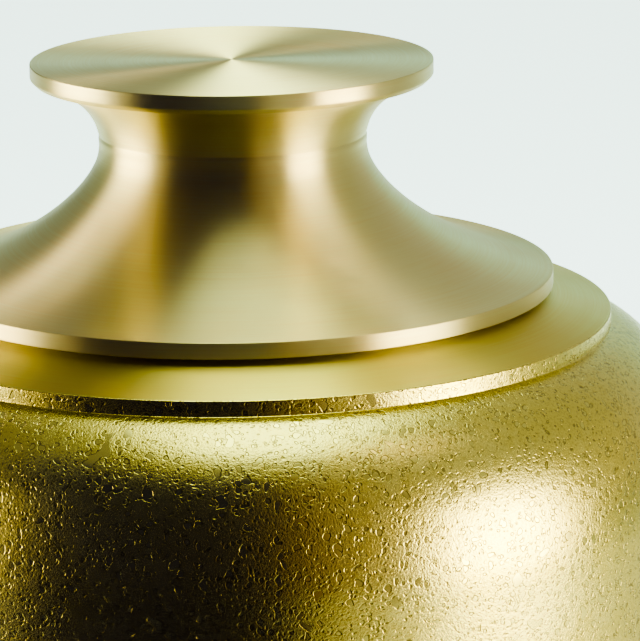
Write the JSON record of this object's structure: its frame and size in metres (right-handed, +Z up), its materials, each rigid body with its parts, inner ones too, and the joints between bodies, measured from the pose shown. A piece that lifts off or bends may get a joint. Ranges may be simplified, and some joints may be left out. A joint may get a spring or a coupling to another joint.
{
  "type": "cremation urn",
  "caption": "Hollow brass cremation urn: textured tapering body, satin collar and foot, and a lift-off satin lid with a flat disc knob.",
  "frame": {"origin": "on the axis, at the underside of the foot", "axes": "+Z up along the axis of turning, from the foot to the knob; +X and +Y are any two directions square to it"},
  "size_m": [0.175, 0.175, 0.2606],
  "materials": {
    "textured_brass": "etched grain, satin",
    "satin_brass": "satin, turned"
  },
  "bodies": {
    "root": {"urn_body": "textured_brass", "lid": "satin_brass"}
  },
  "joints": []
}
